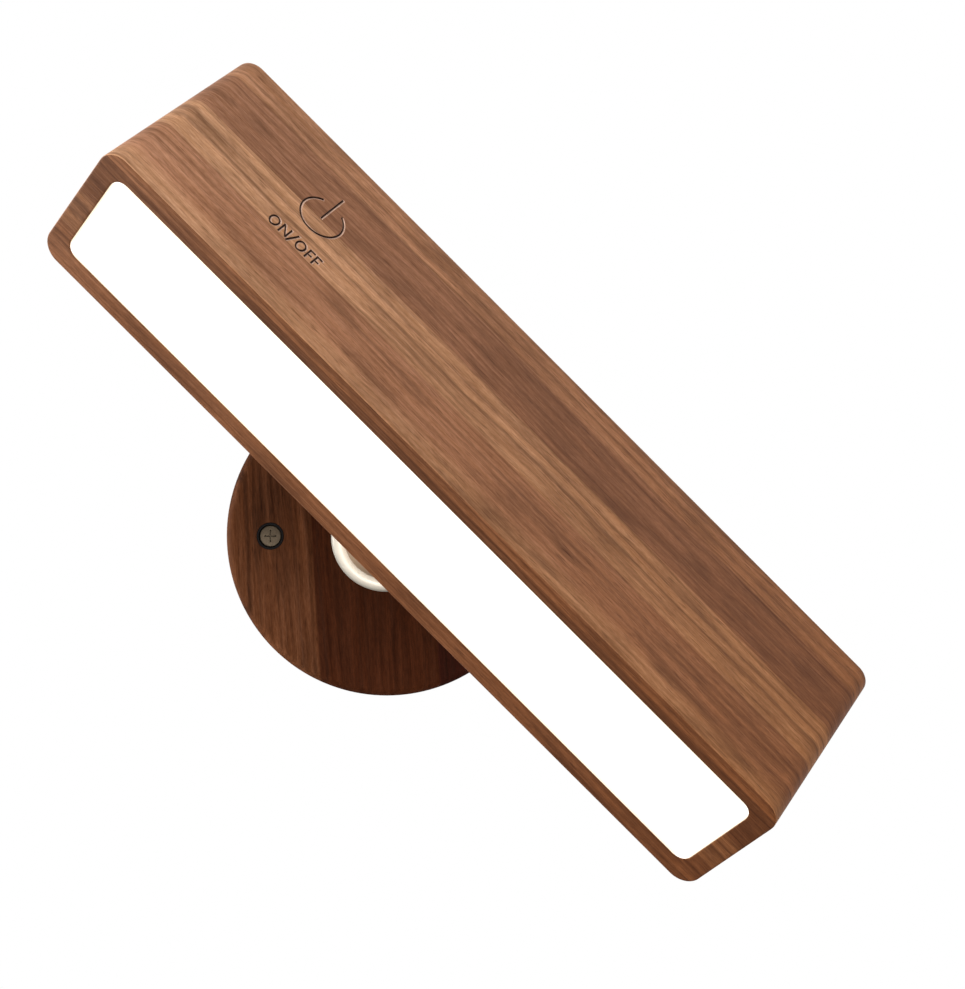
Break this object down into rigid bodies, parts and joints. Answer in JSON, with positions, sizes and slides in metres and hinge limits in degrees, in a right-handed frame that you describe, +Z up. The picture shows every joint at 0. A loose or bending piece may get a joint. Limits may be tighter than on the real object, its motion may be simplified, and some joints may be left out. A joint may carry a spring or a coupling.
{
  "type": "touch wall lamp",
  "caption": "Wooden bar lamp with an opal light window and a touch switch, held on a round wall base by a magnetic ball joint that swivels, tilts and lifts off.",
  "frame": {"origin": "middle of the round base's back face, on the wall", "axes": "+Z up, +X to the right along the two wall screws, +Y into the wall"},
  "size_m": [0.228, 0.1226, 0.228],
  "materials": {
    "base_walnut": "dark oiled walnut, vertical grain",
    "bar_walnut": "satin walnut, grain along the bar",
    "satin_nickel": "satin nickel",
    "ball_steel": "polished, softly worn",
    "seat_steel": "turned",
    "plain_steel": "zinc plated",
    "screw_steel": "zinc plated",
    "socket_steel": "drawn shell",
    "magnet": "nickel plated",
    "bush_brass": "turned",
    "copper": "bare foil",
    "black_plastic": "moulded",
    "white_plastic": "moulded, reflecting",
    "opal_acrylic": "opal, lit from behind",
    "led_board": "white solder mask",
    "led_phosphor": "silicone",
    "cell_wrap": "shrink wrapped",
    "green_board": "solder mask",
    "indicator": "clear red",
    "lead_red": "silicone"
  },
  "bodies": {
    "base": {"base_disc": "base_walnut", "socket_ring": "satin_nickel", "socket_bush": "bush_brass", "back_plate": "plain_steel", "back_plate_screws": "plain_steel", "wall_screws": "screw_steel", "screw_ferrules": "black_plastic"},
    "seat": {"seat_cup": "seat_steel", "seat_magnet": "magnet", "seat_washer": "plain_steel", "seat_screw": "plain_steel"},
    "ball": {"ball": "ball_steel"},
    "stud": {"ball_stud": "satin_nickel", "stud_washer": "plain_steel", "stud_nut": "plain_steel"},
    "lamp": {"lamp_shell": "bar_walnut", "mount_plate": "plain_steel", "mount_plate_screws": "plain_steel", "diffuser": "opal_acrylic", "light_tray": "white_plastic", "led_board": "led_board", "led_chips": "led_phosphor", "led_board_screws": "plain_steel", "battery_cell": "cell_wrap", "battery_cradle": "black_plastic", "cradle_screws": "plain_steel", "battery_tabs": "satin_nickel", "control_board": "green_board", "control_chips": "black_plastic", "board_standoffs": "bush_brass", "board_screws": "plain_steel", "usb_socket": "socket_steel", "indicator_light": "indicator", "touch_electrode": "copper", "touch_pin": "bush_brass", "led_lead": "lead_red", "battery_lead": "lead_red"}
  },
  "joints": [
    {"name": "swivel", "type": "hinge", "parent": "base", "child": "seat", "pos_m": [0, -0.0095, 0], "axis": [0, -1, 0], "continuous": true},
    {"name": "lift_off", "type": "slide", "parent": "seat", "child": "ball", "axis": [0, -1, 0], "range_m": [0, 0.04]},
    {"name": "tilt", "type": "hinge", "parent": "ball", "child": "stud", "pos_m": [0, -0.0295, 0], "axis": [0.7071, 0, -0.7071], "range_deg": [0, 94]},
    {"name": "spin", "type": "hinge", "parent": "stud", "child": "lamp", "pos_m": [0, -0.0295, 0], "axis": [0.5171, -0.682, 0.5171], "range_deg": [-4, 4]}
  ]
}
